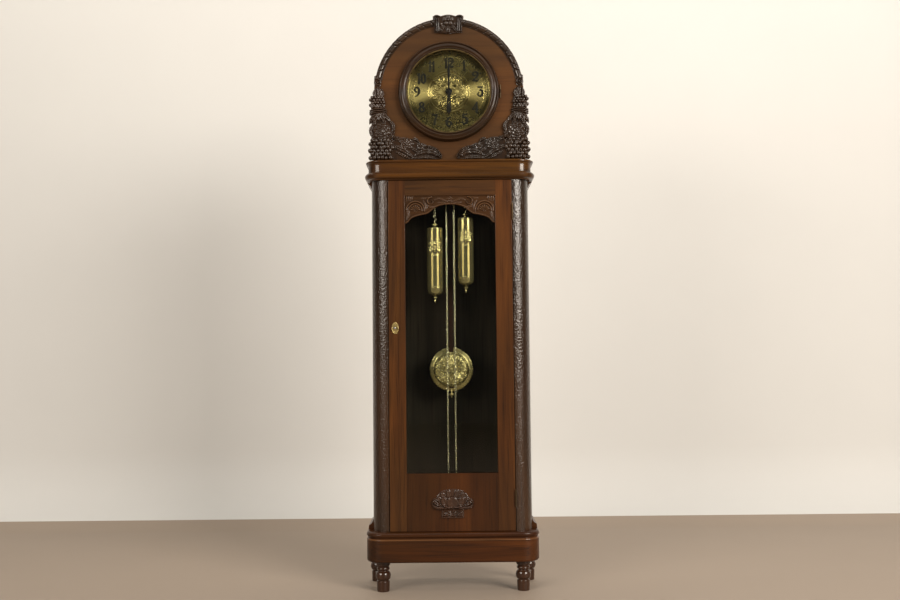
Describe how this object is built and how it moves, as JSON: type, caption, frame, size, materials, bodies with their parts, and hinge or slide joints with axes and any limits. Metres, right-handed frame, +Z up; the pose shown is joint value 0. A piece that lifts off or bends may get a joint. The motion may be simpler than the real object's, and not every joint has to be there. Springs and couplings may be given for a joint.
{
  "type": "longcase clock",
  "caption": "Weight-driven longcase clock with round-topped carved hood, brass dial, glazed trunk door, pendulum, chain-hung weights and turned feet.",
  "frame": {"origin": "middle of the footprint, on the floor", "axes": "+Z up, the dial faces -Y, +X to the right of somebody who looks at the dial"},
  "size_m": [0.6, 0.26, 2.018],
  "materials": {
    "case_wood": "dark oak, polished",
    "door_wood": "dark oak, polished",
    "carved_wood": "carved, stained near black, waxed",
    "inner_wood": "unpolished board",
    "rod_wood": "varnished",
    "dial_brass": "circular brushed, lacquered",
    "polished_brass": "polished",
    "movement_brass": "brushed",
    "chain_brass": "worn",
    "hinge_brass": "patinated",
    "steel": "polished",
    "gong_metal": "blued",
    "hand_black": "blued, near black",
    "glass": "clear"
  },
  "bodies": {
    "root": {"feet": "case_wood", "plinth_frame": "case_wood", "plinth_moulding": "case_wood", "case_floor": "inner_wood", "trunk_sides": "case_wood", "corner_columns": "case_wood", "back_panel": "inner_wood", "cornice": "case_wood", "seat_board": "inner_wood", "hood_front": "case_wood", "hood_shell": "case_wood", "arch_moulding": "case_wood", "crest_block": "carved_wood", "hood_carvings": "carved_wood", "dial_plate": "dial_brass", "movement_front_plate": "movement_brass", "movement_back_plate": "movement_brass", "suspension_bracket": "movement_brass", "gong": "gong_metal", "time_chain": "chain_brass", "strike_chain": "chain_brass", "hinge_fixed_leaves": "hinge_brass"},
    "trunk_door": {"door_frame": "door_wood", "door_bottom_panel": "door_wood", "door_glass": "glass", "door_valance": "carved_wood", "door_applique": "carved_wood", "door_hinge_leaves": "hinge_brass", "lock_case": "hinge_brass", "escutcheon": "polished_brass"},
    "lock_bolt": {"lock_bolt": "hinge_brass"},
    "door_key": {"door_key": "steel"},
    "bezel_door": {"bezel_ring": "door_wood", "bezel_glass": "glass", "bezel_rim": "polished_brass", "bezel_hinge_leaves": "hinge_brass"},
    "minute_arbor": {"minute_hand": "hand_black", "centre_wheel": "movement_brass"},
    "hour_pipe": {"hour_hand": "hand_black", "hour_wheel": "movement_brass"},
    "minute_wheel": {"minute_wheel": "movement_brass"},
    "time_great": {"time_great_wheel": "movement_brass"},
    "intermediate": {"intermediate_wheel": "movement_brass"},
    "third": {"third_wheel": "movement_brass"},
    "escape": {"escape_wheel": "movement_brass"},
    "pendulum": {"pallet_anchor": "steel", "suspension_spring": "steel", "pendulum_rod": "rod_wood", "pendulum_bob": "polished_brass"},
    "time_chain_wheel": {"time_chain_wheel": "movement_brass"},
    "strike_chain_wheel": {"strike_chain_wheel": "movement_brass"},
    "time_weight": {"time_weight": "polished_brass"},
    "strike_weight": {"strike_weight": "polished_brass"},
    "time_chain_end": {"time_chain_ring": "chain_brass"},
    "strike_chain_end": {"strike_chain_ring": "chain_brass"},
    "strike_great": {"strike_great_wheel": "movement_brass"},
    "pin_wheel": {"pin_wheel": "movement_brass"},
    "locking": {"locking_wheel": "movement_brass"},
    "fly": {"fly": "movement_brass"},
    "hammer": {"strike_hammer": "movement_brass"}
  },
  "joints": [
    {"name": "trunk_door_open", "type": "hinge", "parent": "root", "child": "trunk_door", "pos_m": [0.21825, -0.1134, 0.7], "axis": [0, 0, 1], "range_deg": [0, 105]},
    {"name": "key_turn", "type": "hinge", "parent": "trunk_door", "child": "door_key", "pos_m": [-0.1945, -0.1, 0.91], "axis": [0, 1, 0], "range_deg": [0, 90]},
    {"name": "bolt_throw", "type": "slide", "parent": "trunk_door", "child": "lock_bolt", "axis": [-1, 0, 0], "range_m": [0, 0.006]},
    {"name": "bezel_open", "type": "hinge", "parent": "root", "child": "bezel_door", "pos_m": [0.1814, -0.1092, 1.742], "axis": [0, 0, 1], "range_deg": [0, 100]},
    {"name": "minute_turn", "type": "hinge", "parent": "root", "child": "minute_arbor", "pos_m": [0, -0.05, 1.742], "axis": [0, 1, 0], "continuous": true},
    {"name": "hour_turn", "type": "hinge", "parent": "root", "child": "hour_pipe", "pos_m": [0, -0.05, 1.742], "axis": [0, 1, 0], "continuous": true},
    {"name": "minute_wheel_turn", "type": "hinge", "parent": "root", "child": "minute_wheel", "pos_m": [-0.01188, -0.088, 1.73012], "axis": [0, 1, 0], "continuous": true},
    {"name": "intermediate_turn", "type": "hinge", "parent": "root", "child": "intermediate", "pos_m": [0.02764, -0.05, 1.73391], "axis": [0, 1, 0], "continuous": true},
    {"name": "time_great_turn", "type": "hinge", "parent": "root", "child": "time_great", "pos_m": [0.034, -0.05, 1.693], "axis": [0, 1, 0], "continuous": true},
    {"name": "third_turn", "type": "hinge", "parent": "root", "child": "third", "pos_m": [0.02191, -0.05, 1.7607], "axis": [0, 1, 0], "continuous": true},
    {"name": "escape_turn", "type": "hinge", "parent": "root", "child": "escape", "pos_m": [0, -0.05, 1.77], "axis": [0, 1, 0], "continuous": true},
    {"name": "pendulum_swing", "type": "hinge", "parent": "root", "child": "pendulum", "pos_m": [0, 0, 1.794], "axis": [0, 1, 0], "range_deg": [-2.2, 2.2]},
    {"name": "time_weight_drop", "type": "slide", "parent": "root", "child": "time_weight", "axis": [0, 0, -1], "range_m": [-0.2, 0.84], "deforming": ["time_chain"]},
    {"name": "strike_weight_drop", "type": "slide", "parent": "root", "child": "strike_weight", "axis": [0, 0, -1], "range_m": [-0.2, 0.81], "deforming": ["strike_chain"]},
    {"name": "time_chain_wheel_turn", "type": "hinge", "parent": "root", "child": "time_chain_wheel", "pos_m": [0.034, -0.046, 1.693], "axis": [0, 1, 0], "range_deg": [-640, 2400]},
    {"name": "strike_chain_wheel_turn", "type": "hinge", "parent": "root", "child": "strike_chain_wheel", "pos_m": [-0.034, -0.046, 1.693], "axis": [0, 1, 0], "range_deg": [-2400, 640]},
    {"name": "time_chain_end_rise", "type": "slide", "parent": "root", "child": "time_chain_end", "axis": [0, 0, 1], "range_m": [-0.2, 0.84]},
    {"name": "strike_chain_end_rise", "type": "slide", "parent": "root", "child": "strike_chain_end", "axis": [0, 0, 1], "range_m": [-0.2, 0.84]},
    {"name": "locking_turn", "type": "hinge", "parent": "root", "child": "locking", "pos_m": [-0.02743, -0.05, 1.75644], "axis": [0, 1, 0], "continuous": true},
    {"name": "pin_wheel_turn", "type": "hinge", "parent": "root", "child": "pin_wheel", "pos_m": [-0.04103, -0.05, 1.73288], "axis": [0, 1, 0], "continuous": true},
    {"name": "strike_great_turn", "type": "hinge", "parent": "root", "child": "strike_great", "pos_m": [-0.034, -0.05, 1.693], "axis": [0, 1, 0], "continuous": true},
    {"name": "fly_turn", "type": "hinge", "parent": "root", "child": "fly", "pos_m": [-0.03846, -0.05, 1.77554], "axis": [0, 1, 0], "continuous": true},
    {"name": "hammer_lift", "type": "hinge", "parent": "root", "child": "hammer", "pos_m": [0.086, 0.0775, 1.64], "axis": [0, -1, 0], "range_deg": [0, 15]}
  ],
  "couplings": [
    {"joint": "key_turn", "follows": "bolt_throw", "rad_per_m": 261.8},
    {"joint": "hour_turn", "follows": "minute_turn", "ratio": 0.083333},
    {"joint": "minute_wheel_turn", "follows": "minute_turn", "ratio": -0.33333},
    {"joint": "intermediate_turn", "follows": "minute_turn", "ratio": -0.2},
    {"joint": "time_great_turn", "follows": "minute_turn", "ratio": 0.03},
    {"joint": "third_turn", "follows": "minute_turn", "ratio": -8},
    {"joint": "escape_turn", "follows": "minute_turn", "ratio": 60},
    {"joint": "time_chain_wheel_turn", "follows": "time_weight_drop", "rad_per_m": 48.78},
    {"joint": "strike_chain_wheel_turn", "follows": "strike_weight_drop", "rad_per_m": -48.78},
    {"joint": "time_chain_end_rise", "follows": "time_weight_drop", "ratio": 1},
    {"joint": "strike_chain_end_rise", "follows": "strike_weight_drop", "ratio": 1},
    {"joint": "pin_wheel_turn", "follows": "locking_turn", "ratio": -0.13333},
    {"joint": "strike_great_turn", "follows": "locking_turn", "ratio": 0.016667},
    {"joint": "fly_turn", "follows": "locking_turn", "ratio": -8}
  ]
}
